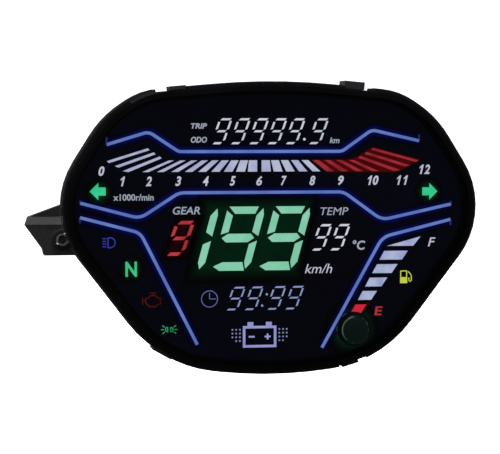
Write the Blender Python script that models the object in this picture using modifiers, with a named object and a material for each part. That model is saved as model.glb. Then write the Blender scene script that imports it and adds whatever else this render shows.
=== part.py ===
"""Motorcycle instrument cluster: a smoked lens over a segment display, in a black housing with a side ear.

The origin is the centre of the housing's flat back wall. +Z is up, +X is to the rider's right and the face
looks along -Y, so every depth below is a Y value and the parts of the face are the most negative ones.
Sizes are in millimetres here and become metres where a mesh is made.
"""
import math

import bmesh
import bpy
from mathutils import Matrix, Vector

MM = 0.001
GAP = 0.3
MERGE = 0.00001
# Depths beyond everything, where a cutter that runs right through ends.
CUT_FRONT, CUT_BACK = -60.0, 20.0

# Outline of the face: right half, top to bottom, as (x, z, corner radius). The left half mirrors it.
FACE_CORNERS = ((0, 70.3, 320), (61, 64.8, 34), (79.5, 52.5, 50), (107.5, 7.7, 40),
                (52.5, -64.2, 58), (0, -70.5, 210))
CORNER_STEPS = (5, 4, 5, 9, 7, 5)
SMALLEST_RADIUS = 1.5
SHARP_ANGLE = math.radians(45)

# Display glass, cut with straight edges: right half, top to bottom, as (x, z). It sits left of the centre.
GLASS_CORNERS = ((56, 58.5), (73, 46), (91, 10), (82.6, -13), (54, -42), (27, -60))
GLASS_SHIFT = -3.0
CONTACT_LEDGE_Z = 53.0
VIEW_BORDER = 1.2

# Depths of the main planes.
LENS_FRONT = -52.6
LENS_SKIRT_END = -38.2
LENS_WALL = 2.2
RIM_FRONT = -36.6
HOUSING_WALL = 2.4
BEZEL_INSET = 3.1
BORDER_INNER = 5.8
BORDER_FRONT = -47.0
FLOOR_FRONT = -43.5
FLOOR_BACK = -42.0
SHEET_THICKNESS = 0.3
TRAY_BACK = -36.4
LIGHT_BOX_BACK = -24.0
BOARD_FRONT = -23.7
BOARD_THICKNESS = 1.6
BOARD_BACK = BOARD_FRONT + BOARD_THICKNESS

# Shells, as (depth, how far the outline is moved inward) from the open side to the closed one.
LENS_SECTIONS = ((LENS_SKIRT_END, 0), (-47.4, 0), (-49.6, 0.7), (-51.2, 2.2), (-52.1, 4.6), (LENS_FRONT, 9))
LIGHT_BOX_SECTIONS = ((-35.7, 1.0), (-34.0, 1.0), (LIGHT_BOX_BACK, 5.5))
HOUSING_SECTIONS = ((RIM_FRONT, -0.1), (-33.6, -0.1), (-32.6, 0.9), (-28, 4.5), (-20, 9), (-8, 14),
                    (-2.5, 17), (-0.7, 18.4), (0, 20))
LIGHT_BOX_WALL = 1.4

# Display stack: (name, front, back, how far its outline is moved inward, stops at the ledge, look).
DISPLAY_LAYERS = (("lcd_front_polarizer", -41.7, -41.4, 0.8, True, "polarizer"),
                  ("lcd_front_glass", -41.1, -40.0, 0.0, False, "display_glass"),
                  ("lcd_rear_glass", -39.7, -38.6, 0.0, True, "display_glass"),
                  ("lcd_rear_polarizer", -38.3, -38.0, 0.8, True, "polarizer"),
                  ("colour_film", -37.7, -37.4, 0.8, True, "film"),
                  ("diffuser_sheet", -37.1, -36.2, 0.4, True, "diffuser"))

# Backlight: rows of four, as (z, half the space between two neighbours).
LED_ROWS = ((26, 17), (-22, 14))
LED_HALF_WIDTH, LED_HALF_HEIGHT, LED_DEPTH = 1.75, 1.4, 1.9
WINDOW_MARGIN = 0.75

# What stands on the back of the board: (name, x range, z range, height, rounding, look), and the round cans.
CHIPS = (("microcontroller", (-7, 7), (-12, 2), 1.6, 0.3, "chip"),
         ("display_driver", (14, 26), (-6, 6), 1.6, 0.3, "chip"),
         ("voltage_regulator", (-46, -39.5), (6, 12.5), 2.4, 0.25, "chip"),
         ("power_inductor", (-48, -40), (-8, 0), 4.0, 0.9, "ferrite"),
         ("clock_crystal", (-16, -11.5), (-8, 3), 3.2, 0.8, "steel"))
CANS = (("bulk_capacitor", -55, 16, 4.0, 10.5), ("filter_capacitor", -54, 3, 3.2, 8.0))
STRIP_HALF_LENGTH = 50

# Push button on the face: its centre, and its stem's, which passes beside the glass.
BUTTON_X, BUTTON_Z = 38.7, -48.0
BUTTON_RADIUS = 7.0
BUTTON_FRONT = LENS_FRONT - 2.6
FLANGE_RADIUS = 8.2
FLANGE_FRONT, FLANGE_BACK = -49.9, -48.9
STEM_X, STEM_Z = 40.5, -52.6
STEM_RADIUS = 1.5
STEM_END = -40.1
SWITCH_HALF = 2.4
PLUNGER_RADIUS = 1.2
PLUNGER_BACK = -38.0
SPRING_RADIUS = 2.7
SPRING_WIRE = 0.3
SPRING_TURNS = 3.5
POINTS_PER_TURN = 12

# Mounting ear at the left, with a rubber grommet and a steel bush, closed at the back, for an M5 bolt.
EAR_X, EAR_Z = -96.8, -6.0
EAR_FRONT, EAR_BACK = -19.0, -8.0
EAR_STEP = 3.6
EAR_RIDGE_Z = 1.2
EAR_HOLE_RADIUS = 4.2
EAR_LOW, EAR_NECK_X = -13.6, -80
EAR_TIP = ((-112.7, 4.6), (-114.1, 0.6), (-105.9, -10.8), (-105.2, EAR_LOW))
BUSH_OUTER, BUSH_INNER = 2.9, 2.1
BUSH_REACH, BUSH_DEPTH = 1.4, 10.0
GROMMET_FLANGE_RADIUS, GROMMET_FLANGE = 5.0, 1.0

# Two bosses on the back wall, each with a brass insert for an M5 screw: (name, x, z).
BACK_BOSSES = (("right", 60.0, 4.0), ("lower", 0.0, -38.0))
BACK_BOSS_RADIUS = 6.5
BACK_BOSS_FACE = 4.0
INSERT_OUTER, INSERT_INNER = 3.4, 2.3
INSERT_DEPTH = 9.0

# Case screws, through long bosses of the housing into posts of the light box.
CASE_SCREWS = ((-52, 34), (52, 34), (-38, -34), (38, -34))
SCREW_RADIUS = 1.45
SCREW_TIP, SCREW_POINT = -31.6, -29.6
POST_RADIUS = 3.2
POST_FRONT, POST_HOLE_FRONT = -33.0, -32.0
BOSS_RADIUS = 4.4
HEAD_RADIUS = 3.1
HEAD_SEAT, RECESS_FLOOR = -3.1, -3.4

# Wiring socket in the back wall.
SOCKET_X, SOCKET_Z = -24.0, 16.0
SOCKET_WIDTH, SOCKET_HEIGHT = 24.0, 14.0
SOCKET_WALL = 1.3
SOCKET_FLOOR = -20.0
SOCKET_MOUTH = -0.6
SOCKET_FLOOR_WALL = 1.6
KEY_HALF_WIDTH, KEY_DEPTH = 3, 9
PIN_PITCH = 4.2
PIN_SIZE = 1.2
PIN_FRONT, PIN_BACK = -23.8, -7.0

# Rubber breather in the back wall.
VENT_X, VENT_Z = 30.0, 16.0
VENT_RADIUS = 3.0
VENT_PROFILE = ((0, -3.4), (VENT_RADIUS, -3.4), (VENT_RADIUS, 0.3), (5.2, 0.3), (5.2, 1.0),
                (4.4, 1.5), (0, 1.5))

# Snap tabs on the rim: (name, x, on the upper edge, half width, how far it stands above the edge), and the
# notch of the lens about each.
SNAP_TABS = (("upper_left", -44.8, True, 3.8, 0.5, (-55.8, -40.7)),
             ("upper_right", 39.5, True, 4.8, 2.3, (34.3, 48.7)),
             ("lower_left", -52.3, False, 5.0, 0.5, (-57.9, -46.7)),
             ("lower_right", 37.9, False, 4.0, 0.5, (31.9, 46.1)))
TAB_FRONT, TAB_BACK = -46.5, -34.0
TAB_DEPTH = 1.3
GAP_DEPTH, GAP_LEAST = 1.5, 1.3
NOTCH_BACK, NOTCH_HALF_DEPTH = -30.0, 3.0


def clear_scene():
    for thing in list(bpy.data.objects):
        bpy.data.objects.remove(thing, do_unlink=True)


def collection(name):
    made = bpy.data.collections.new(name)
    bpy.context.scene.collection.children.link(made)
    return made


def material(name, color, roughness, metallic=0.0, alpha=1.0):
    made = bpy.data.materials.new(name)
    made.use_nodes = True
    shader = made.node_tree.nodes["Principled BSDF"]
    shader.inputs["Base Color"].default_value = (*color, 1.0)
    shader.inputs["Roughness"].default_value = roughness
    shader.inputs["Metallic"].default_value = metallic
    shader.inputs["Alpha"].default_value = alpha
    return made


# Outlines. Every outline runs counter-clockwise as seen from the front, x to the right and z up.

def mirrored(half, on_axis):
    """Both halves of a symmetric outline; the points on its axis aren't repeated."""
    left = [(-x, *rest) for x, *rest in half]
    right = list(reversed(half))
    if on_axis:
        return right + left[1:-1]
    return right + left


def inset_corners(corners, inset):
    """A convex outline's corners, with every edge moved inward by inset."""
    moved = []
    count = len(corners)
    for i in range(count):
        before, here, after = (Vector(corners[(i + k) % count][:2]) for k in (-1, 0, 1))
        into = (here - before).normalized()
        out = (after - here).normalized()
        half_turn = into.angle(out) / 2
        across = Vector((-(into + out).y, (into + out).x)).normalized()
        moved.append(here + across * inset / math.cos(half_turn))
    return moved


def fillet(before, here, after, radius, steps):
    """Points of the arc that rounds one corner."""
    back = (before - here).normalized()
    ahead = (after - here).normalized()
    half = back.angle(ahead) / 2
    reach = radius / math.tan(half)
    centre = here + (back + ahead).normalized() * radius / math.sin(half)
    first = here + back * reach - centre
    last = here + ahead * reach - centre
    turn = first.angle_signed(last)
    return [centre + Matrix.Rotation(-turn * k / steps, 2) @ first for k in range(steps + 1)]


def face_outline(inset):
    """The face's outline, moved inward by inset, always with the same number of points."""
    corners = mirrored(FACE_CORNERS, on_axis=True)
    steps = [s for _, s in mirrored([(0, s) for s in CORNER_STEPS], on_axis=True)]
    moved = inset_corners(corners, inset)
    count = len(moved)
    points = []
    for i in range(count):
        radius = max(corners[i][2] - inset, SMALLEST_RADIUS)
        points += fillet(moved[i - 1], moved[i], moved[(i + 1) % count], radius, steps[i])
    return [tuple(p) for p in points]


def glass_outline(inset, ledge=False):
    """The display's straight-edged outline, moved inward; with ledge, cut off below the contact pads."""
    half = list(GLASS_CORNERS)
    if ledge:
        (x0, z0), (x1, z1) = half[:2]
        half[0] = (x0 + (x1 - x0) * (z0 - CONTACT_LEDGE_Z) / (z0 - z1), CONTACT_LEDGE_Z)
    return [(x + GLASS_SHIFT, z) for x, z in inset_corners(mirrored(half, on_axis=False), inset)]


def edge_at(x, upper, inset):
    """The point at x on the face's upper or lower edge, moved inward by inset, and the edge's slope there."""
    points = face_outline(0)
    for before, after in zip(points[-1:] + points, points):
        runs_left = after[0] < before[0]
        if runs_left == upper and min(before[0], after[0]) <= x < max(before[0], after[0]):
            slope = (after[1] - before[1]) / (after[0] - before[0])
            angle = math.atan(slope)
            z = before[1] + (x - before[0]) * slope
            inward = -inset if upper else inset
            return x - inward * math.sin(angle), z + inward * math.cos(angle), angle
    raise ValueError("the outline has no such edge")


# Makers. What has a look is a piece; what has none is a tool, which a Boolean cuts away or joins on.

def add(name, data, look=None):
    thing = bpy.data.objects.new(name, data)
    if look:
        PARTS.objects.link(thing)
        data.materials.append(look)
    else:
        thing.hide_render = True
        thing.display_type = "WIRE"
        TOOLS.objects.link(thing)
    return thing


def mesh_from(bm, name):
    data = bpy.data.meshes.new(name)
    bm.to_mesh(data)
    bm.free()
    return data


def loft_shell(name, sections, wall, look, ring=face_outline):
    """A cup lofted through (depth, inset) sections and closed at the last; Solidify gives it its wall."""
    bm = bmesh.new()
    rings = [[bm.verts.new((x * MM, depth * MM, z * MM)) for x, z in ring(inset)]
             for depth, inset in sections]
    count = len(rings[0])
    for near, far in zip(rings, rings[1:]):
        for i in range(count):
            bm.faces.new((near[i - 1], far[i - 1], far[i], near[i]))
    bm.faces.new(list(reversed(rings[-1])))
    if sections[-1][0] < sections[0][0]:
        bmesh.ops.reverse_faces(bm, faces=bm.faces[:])
    made = add(name, mesh_from(bm, name), look)
    skin = made.modifiers.new("wall", "SOLIDIFY")
    skin.thickness = wall * MM
    skin.offset = -1
    skin.use_even_offset = True
    return made


def plate(name, outlines, front, back, look=None):
    """A flat plate between two depths: a 2D curve whose first outline is its edge and the rest are holes."""
    curve = bpy.data.curves.new(name, "CURVE")
    curve.dimensions = "2D"
    curve.fill_mode = "BOTH"
    curve.extrude = (back - front) / 2 * MM
    for points in outlines:
        line = curve.splines.new("POLY")
        line.points.add(len(points) - 1)
        line.use_cyclic_u = True
        for point, (x, z) in zip(line.points, points):
            point.co = (x * MM, z * MM, 0, 1)
    flat = bpy.data.objects.new(name + "_outline", curve)
    flat.location = (0, (front + back) / 2 * MM, 0)
    flat.rotation_euler = (math.pi / 2, 0, 0)
    PARTS.objects.link(flat)
    bpy.context.view_layer.update()
    made = add(name, as_mesh(flat, name), look)
    made.matrix_world = flat.matrix_world
    bpy.data.objects.remove(flat, do_unlink=True)
    return made


def as_mesh(curve_object, name):
    """The evaluated mesh of a curve, with its caps welded on."""
    evaluated = curve_object.evaluated_get(bpy.context.evaluated_depsgraph_get())
    bm = bmesh.new()
    bm.from_mesh(bpy.data.meshes.new_from_object(evaluated))
    bmesh.ops.remove_doubles(bm, verts=bm.verts[:], dist=MERGE)
    return mesh_from(bm, name)


def block(name, low, high, look=None, bevel=0.0):
    """A box between two corners."""
    bm = bmesh.new()
    bmesh.ops.create_cube(bm, size=1.0)
    size = [(b - a) * MM for a, b in zip(low, high)]
    bmesh.ops.scale(bm, vec=size, verts=bm.verts[:])
    made = add(name, mesh_from(bm, name), look)
    made.location = [(a + b) / 2 * MM for a, b in zip(low, high)]
    if bevel:
        round_edges(made, bevel)
    return made


def rod(name, x, z, radius, front, back, sides=24):
    """A tool: a cylinder along Y between two depths."""
    bm = bmesh.new()
    bmesh.ops.create_cone(bm, cap_ends=True, segments=sides, radius1=radius * MM, radius2=radius * MM,
                          depth=(back - front) * MM)
    made = add(name, mesh_from(bm, name))
    made.location = (x * MM, (front + back) / 2 * MM, z * MM)
    made.rotation_euler = (math.pi / 2, 0, 0)
    made.data.shade_smooth()
    made.data.set_sharp_from_angle(angle=SHARP_ANGLE)
    return made


def turned(name, x, z, profile, look, closed=False, sides=24):
    """A profile of (radius, depth) points, listed from front to back, turned about an axis along Y."""
    bm = bmesh.new()
    spots = [bm.verts.new((radius * MM, 0, -depth * MM)) for radius, depth in profile]
    for here, after in zip(spots, spots[1:]):
        bm.edges.new((here, after))
    if closed:
        bm.edges.new((spots[-1], spots[0]))
    made = add(name, mesh_from(bm, name), look)
    made.location = (x * MM, 0, z * MM)
    made.rotation_euler = (math.pi / 2, 0, 0)
    turn = made.modifiers.new("turn", "SCREW")
    turn.steps = sides
    turn.render_steps = sides
    turn.use_merge_vertices = True
    turn.merge_threshold = MERGE
    turn.use_smooth_shade = True
    return made


def tilted(name, place, half_size, front, back, look=None, bevel=0.0):
    """A box between two depths, centred on a place (x, z, angle) and turned by its angle about Y."""
    x, z, angle = place
    wide, high = half_size
    made = block(name, (-wide, front, -high), (wide, back, high), look, bevel)
    made.location = (x * MM, (front + back) / 2 * MM, z * MM)
    made.rotation_euler = (0, -angle, 0)
    return made


def stem_place():
    """The stem's axis, and the slope of the glass's edge beside it."""
    (x0, z0), (x1, z1) = GLASS_CORNERS[-2:]
    return STEM_X, STEM_Z, math.atan2(z0 - z1, x0 - x1)


def notch_cutters(piece, clearance):
    """Boxes that cut room for the snap tabs in the edge of a piece, one about each tab."""
    tools = []
    for name, _, upper, _, _, (low, high) in SNAP_TABS:
        place = edge_at((low + high) / 2, upper, TAB_DEPTH + clearance - NOTCH_HALF_DEPTH)
        half_size = ((high - low) / 2, NOTCH_HALF_DEPTH)
        tools.append(tilted(f"{piece}_{name}_notch", place, half_size, CUT_FRONT, NOTCH_BACK))
    return tools


def gap_cutters():
    """Boxes that lower the housing's rim beside the snap tabs, wherever a notch leaves room there."""
    tools = []
    for name, x, upper, half, _, (low, high) in SNAP_TABS:
        for side, start, end in (("left", low, x - half + GAP), ("right", x + half - GAP, high)):
            if end - start > GAP_LEAST:
                place = edge_at((start + end) / 2, upper, GAP_DEPTH - NOTCH_HALF_DEPTH)
                half_size = ((end - start) / 2, NOTCH_HALF_DEPTH)
                tools.append(tilted(f"{name}_{side}_gap", place, half_size, CUT_FRONT, NOTCH_BACK))
    return tools


def round_edges(piece, width, segments=2):
    edge = piece.modifiers.new("edge", "BEVEL")
    edge.width = width * MM
    edge.segments = segments
    edge.limit_method = "ANGLE"
    edge.angle_limit = SHARP_ANGLE


def combine(piece, other, operation):
    step = piece.modifiers.new(operation.lower(), "BOOLEAN")
    step.operation = operation
    step.solver = "EXACT"
    step.object = other


def cut(piece, *tools):
    for tool in tools:
        combine(piece, tool, "DIFFERENCE")


def join(piece, *others):
    for other in others:
        combine(piece, other, "UNION")


# The pieces, from the front to the back.

def build_lens(look):
    lens = loft_shell("front_lens", LENS_SECTIONS, LENS_WALL, look)
    hole = rod("lens_button_hole", BUTTON_X, BUTTON_Z, BUTTON_RADIUS + GAP, CUT_FRONT, CUT_BACK, sides=32)
    cut(lens, hole, *notch_cutters("lens", GAP))


def build_seal(look):
    seal = plate("lens_seal", (face_outline(0.4), face_outline(1.9)), LENS_SKIRT_END + GAP, RIM_FRONT - GAP,
                 look)
    cut(seal, *notch_cutters("seal", GAP / 2))


def build_bezel(look):
    """The mask: a raised border, a floor with the display's window, and a tray wall round the glass."""
    window = glass_outline(VIEW_BORDER, ledge=True)
    bezel = plate("bezel_frame", (face_outline(BEZEL_INSET), window), FLOOR_FRONT, FLOOR_BACK, look)
    edge = (face_outline(BEZEL_INSET), face_outline(BORDER_INNER))
    border = plate("bezel_border", edge, BORDER_FRONT, FLOOR_BACK - 0.6)
    tray = plate("bezel_tray", (glass_outline(-1.5), glass_outline(-0.4)), FLOOR_BACK - 0.7, TRAY_BACK)
    join(bezel, border, tray)
    cut(bezel, rod("bezel_stem_hole", STEM_X, STEM_Z, STEM_RADIUS + 0.5, CUT_FRONT, CUT_BACK, sides=20),
        rod("bezel_spring_pocket", STEM_X, STEM_Z, SPRING_RADIUS + 1.0, CUT_FRONT, FLOOR_FRONT),
        tilted("bezel_switch_pocket", stem_place(), (5.0, SWITCH_HALF + GAP), STEM_END - 0.4, CUT_BACK))


def build_face_sheet(look):
    """The dark printed sheet that carries the legends. It lies on the mask's floor, inside the border."""
    back = FLOOR_FRONT - GAP
    sheet = plate("face_sheet", (face_outline(BORDER_INNER + GAP),), back - SHEET_THICKNESS, back, look)
    cut(sheet, rod("sheet_spring_hole", STEM_X, STEM_Z, SPRING_RADIUS + 1.0, CUT_FRONT, CUT_BACK, sides=20))


def build_display(looks):
    """Two polarizers and two glasses, then the colour film and the diffuser."""
    for name, front, back, inset, ledge, look in DISPLAY_LAYERS:
        plate(name, (glass_outline(inset, ledge),), front, back, looks[look])


def led_places():
    """The backlight's places, in rows over the light box's floor."""
    return [(x, z) for z, spread in LED_ROWS for x in (-3 * spread, -spread, spread, 3 * spread)]


def build_light_box(look, led_look):
    """White tray that narrows towards the board, with LED holes and four screw posts."""
    def ring(inset):
        return glass_outline(inset, ledge=True)

    box = loft_shell("light_box", LIGHT_BOX_SECTIONS, LIGHT_BOX_WALL, look, ring)
    seat = BOARD_FRONT - GAP
    for number, (x, z) in enumerate(led_places(), 1):
        across, up = LED_HALF_WIDTH, LED_HALF_HEIGHT
        block(f"backlight_led_{number}", (x - across, seat - LED_DEPTH, z - up), (x + across, seat, z + up),
              led_look, bevel=0.25)
        across, up = across + WINDOW_MARGIN, up + WINDOW_MARGIN
        cut(box, block(f"led_window_{number}", (x - across, CUT_FRONT, z - up),
                       (x + across, CUT_BACK, z + up)))
    for number, (x, z) in enumerate(CASE_SCREWS, 1):
        post = rod(f"light_box_post_{number}", x, z, POST_RADIUS, POST_FRONT, LIGHT_BOX_BACK - 0.2, sides=16)
        join(box, post)
        cut(box, rod(f"post_hole_{number}", x, z, SCREW_RADIUS + GAP, POST_HOLE_FRONT, CUT_BACK, sides=12))


def build_board(look):
    board = plate("circuit_board", (face_outline(12.0),), BOARD_FRONT, BOARD_BACK, look)
    for number, (x, z) in enumerate(CASE_SCREWS, 1):
        cut(board, rod(f"board_hole_{number}", x, z, SCREW_RADIUS + GAP, CUT_FRONT, CUT_BACK, sides=12))
    cut(board, *pin_holes("board"))


def build_components(looks):
    """What stands on the board, and the rubber contact strip between the board and the glass."""
    base = BOARD_BACK + GAP
    for name, (left, right), (low, high), height, rounding, look in CHIPS:
        block(name, (left, base, low), (right, base + height, high), looks[look], rounding)
    for name, x, z, radius, height in CANS:
        top = base + height
        turned(name, x, z, ((0, base), (radius, base), (radius, top - 0.5), (radius - 0.5, top), (0, top)),
               looks["aluminium"])
    block("elastomer_strip", (-STRIP_HALF_LENGTH, -39.7, CONTACT_LEDGE_Z + 0.8),
          (STRIP_HALF_LENGTH, LIGHT_BOX_BACK, CONTACT_LEDGE_Z + 2.6), looks["rubber"])


def build_button(looks):
    """The glossy cap and stem, its spring, and the small board with the switch behind it."""
    crown = ((0, BUTTON_FRONT - 0.5), (4, BUTTON_FRONT - 0.2), (6, BUTTON_FRONT + 0.3),
             (BUTTON_RADIUS, BUTTON_FRONT + 1.4))
    flange = ((BUTTON_RADIUS, FLANGE_FRONT), (FLANGE_RADIUS, FLANGE_FRONT), (FLANGE_RADIUS, FLANGE_BACK),
              (0, FLANGE_BACK))
    cap = turned("set_button", BUTTON_X, BUTTON_Z, crown + flange, looks["button"], sides=32)
    join(cap, rod("button_stem", STEM_X, STEM_Z, STEM_RADIUS, FLANGE_BACK - 0.5, STEM_END, sides=16))
    build_spring(looks["steel"])
    tilted("button_board", stem_place(), (4.5, SWITCH_HALF), -35.5, -34.5, looks["board"])
    switch = tilted("switch_body", stem_place(), (SWITCH_HALF, SWITCH_HALF), -38.6, -35.8, looks["chip"], 0.3)
    front = STEM_END + GAP
    turned("switch_plunger", STEM_X, STEM_Z,
           ((0, front), (PLUNGER_RADIUS, front), (PLUNGER_RADIUS, PLUNGER_BACK), (0, PLUNGER_BACK)),
           looks["chip"], sides=16)
    cut(switch, rod("switch_well", STEM_X, STEM_Z, PLUNGER_RADIUS + GAP, CUT_FRONT, -36.3, sides=16))


def build_spring(look):
    """A coil about the stem, between the cap and the bezel's floor."""
    start = FLANGE_BACK + GAP + SPRING_WIRE
    end = FLOOR_FRONT - GAP - SPRING_WIRE
    curve = bpy.data.curves.new("button_spring", "CURVE")
    curve.dimensions = "3D"
    curve.bevel_depth = SPRING_WIRE * MM
    curve.bevel_resolution = 2
    curve.use_fill_caps = True
    count = round(SPRING_TURNS * POINTS_PER_TURN)
    coil = curve.splines.new("POLY")
    coil.points.add(count)
    for k, point in enumerate(coil.points):
        angle = 2 * math.pi * SPRING_TURNS * k / count
        depth = start + (end - start) * k / count
        point.co = (SPRING_RADIUS * math.cos(angle) * MM, depth * MM, SPRING_RADIUS * math.sin(angle) * MM, 1)
    spring = add("button_spring", curve, look)
    spring.location = (STEM_X * MM, 0, STEM_Z * MM)


def build_ear():
    """The ear's solid: a plate of the full outline, and in front of it a thicker part with a sloped top."""
    full = ((EAR_NECK_X, EAR_LOW), (EAR_NECK_X, 10.6), (EAR_X, 10.4), *EAR_TIP)
    top = EAR_RIDGE_Z + EAR_STEP
    low = ((EAR_NECK_X, EAR_LOW), (EAR_NECK_X, top), (EAR_TIP[0][0], top), *EAR_TIP[1:])
    ear = plate("ear_plate", (full,), EAR_FRONT + EAR_STEP, EAR_BACK)
    thick = plate("ear_front", (low,), EAR_FRONT, EAR_FRONT + EAR_STEP + 1)
    half = 6
    back = (EAR_STEP - half * math.sqrt(2)) / 2
    slope = block("ear_slope", (-5 * half, -half, -half), (5 * half, half, half))
    slope.location = (EAR_X * MM, (EAR_FRONT + back) * MM, (EAR_RIDGE_Z + EAR_STEP - back) * MM)
    slope.rotation_euler = (math.radians(-45), 0, 0)
    cut(thick, slope)
    join(ear, thick)
    return ear


def build_housing(look):
    """Rear shell with the ear, two back bosses, snap tabs, screw bosses and the socket's hole."""
    housing = loft_shell("rear_housing", HOUSING_SECTIONS, HOUSING_WALL, look)
    join(housing, build_ear())
    for name, x, z in BACK_BOSSES:
        join(housing, rod(f"{name}_boss", x, z, BACK_BOSS_RADIUS, 2 - INSERT_DEPTH, BACK_BOSS_FACE))
    for number, (x, z) in enumerate(CASE_SCREWS, 1):
        join(housing, rod(f"housing_boss_{number}", x, z, BOSS_RADIUS, BOARD_BACK + GAP, -1.0, sides=20))
    cut(housing, *gap_cutters())
    for name, x, upper, half, rise, _ in SNAP_TABS:
        place = edge_at(x, upper, (TAB_DEPTH - rise) / 2)
        join(housing, tilted(f"{name}_tab", place, (half, (TAB_DEPTH + rise) / 2), TAB_FRONT, TAB_BACK))
    cut(housing, *housing_holes())


def housing_holes():
    """Cutters for the ear's hole, and for what goes through or into the back wall."""
    holes = [rod("ear_hole", EAR_X, EAR_Z, EAR_HOLE_RADIUS, CUT_FRONT, CUT_BACK)]
    for name, x, z in BACK_BOSSES:
        floor = BACK_BOSS_FACE - INSERT_DEPTH
        holes.append(rod(f"{name}_insert_hole", x, z, INSERT_OUTER + GAP, floor, CUT_BACK))
    for number, (x, z) in enumerate(CASE_SCREWS, 1):
        holes.append(rod(f"screw_hole_{number}", x, z, SCREW_RADIUS + GAP, CUT_FRONT, CUT_BACK, sides=12))
        holes.append(rod(f"screw_recess_{number}", x, z, HEAD_RADIUS + GAP, RECESS_FLOOR, CUT_BACK, sides=20))
    width, height = SOCKET_WIDTH / 2 + GAP, SOCKET_HEIGHT / 2 + GAP
    holes.append(block("socket_hole", (SOCKET_X - width, CUT_FRONT, SOCKET_Z - height),
                       (SOCKET_X + width, CUT_BACK, SOCKET_Z + height)))
    holes.append(rod("vent_hole", VENT_X, VENT_Z, VENT_RADIUS + GAP, CUT_FRONT, CUT_BACK, sides=20))
    return holes


def build_screws(look):
    """Self-tapping screws: a domed head in its recess, a plain shank and a pointed end."""
    point = ((0, SCREW_TIP), (0.6, SCREW_TIP + 0.4), (SCREW_RADIUS, SCREW_POINT), (SCREW_RADIUS, HEAD_SEAT))
    head = ((HEAD_RADIUS, HEAD_SEAT), (HEAD_RADIUS, HEAD_SEAT + 1.1), (HEAD_RADIUS * 0.6, HEAD_SEAT + 2.0),
            (0, HEAD_SEAT + 2.2))
    for number, (x, z) in enumerate(CASE_SCREWS, 1):
        turned(f"case_screw_{number}", x, z, point + head, look, sides=16)


def build_mount_fittings(rubber, steel, brass):
    """A rubber grommet and a closed steel bush in the ear, and a brass insert in each back boss."""
    front, back = EAR_FRONT - GAP, EAR_BACK + GAP
    inner = BUSH_OUTER + GAP
    collar = EAR_HOLE_RADIUS - GAP
    outer, thick, rounding = GROMMET_FLANGE_RADIUS, GROMMET_FLANGE, 0.4
    turned("ear_grommet", EAR_X, EAR_Z,
           ((inner, front - thick), (outer - rounding, front - thick), (outer, front - thick + rounding),
            (outer, front), (collar, front), (collar, back), (outer, back), (outer, back + thick - rounding),
            (outer - rounding, back + thick), (inner, back + thick)), rubber, closed=True)
    mouth, end = front - BUSH_REACH, back + BUSH_REACH
    turned("ear_bush", EAR_X, EAR_Z,
           ((0, mouth + BUSH_DEPTH), (BUSH_INNER, mouth + BUSH_DEPTH), (BUSH_INNER, mouth),
            (BUSH_OUTER, mouth), (BUSH_OUTER, end), (0, end)), steel)
    for name, x, z in BACK_BOSSES:
        front, back = BACK_BOSS_FACE - INSERT_DEPTH + GAP, BACK_BOSS_FACE - GAP
        turned(f"{name}_insert", x, z,
               ((INSERT_INNER, front), (INSERT_OUTER, front), (INSERT_OUTER, back), (INSERT_INNER, back)),
               brass, closed=True, sides=16)


def pin_places():
    """Two rows of four pins, in the socket and through the board."""
    return [(SOCKET_X + PIN_PITCH * (column - 1.5), SOCKET_Z + PIN_PITCH * (row - 0.5))
            for row in range(2) for column in range(4)]


def pin_holes(piece):
    """Cutters for the pins' holes in a piece."""
    reach = PIN_SIZE / 2 + GAP
    return [block(f"{piece}_pin_hole_{number}", (x - reach, CUT_FRONT, z - reach),
                  (x + reach, CUT_BACK, z + reach))
            for number, (x, z) in enumerate(pin_places(), 1)]


def build_socket(plastic, metal):
    """A box open to the back, with a key slot in its top, and its pins."""
    width, height = SOCKET_WIDTH / 2, SOCKET_HEIGHT / 2
    socket = block("wiring_socket", (SOCKET_X - width, SOCKET_FLOOR, SOCKET_Z - height),
                   (SOCKET_X + width, SOCKET_MOUTH, SOCKET_Z + height), plastic)
    across, up = width - SOCKET_WALL, height - SOCKET_WALL
    cavity = block("socket_cavity", (SOCKET_X - across, SOCKET_FLOOR + SOCKET_FLOOR_WALL, SOCKET_Z - up),
                   (SOCKET_X + across, CUT_BACK, SOCKET_Z + up))
    key = block("socket_key", (SOCKET_X - KEY_HALF_WIDTH, -KEY_DEPTH, SOCKET_Z + height - 2),
                (SOCKET_X + KEY_HALF_WIDTH, CUT_BACK, SOCKET_Z + height + 1))
    cut(socket, cavity, key, *pin_holes("socket"))
    half = PIN_SIZE / 2
    for number, (x, z) in enumerate(pin_places(), 1):
        block(f"socket_pin_{number}", (x - half, PIN_FRONT, z - half), (x + half, PIN_BACK, z + half),
              metal, bevel=0.2)


def build_vent(look):
    turned("breather_vent", VENT_X, VENT_Z, VENT_PROFILE, look)


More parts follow.
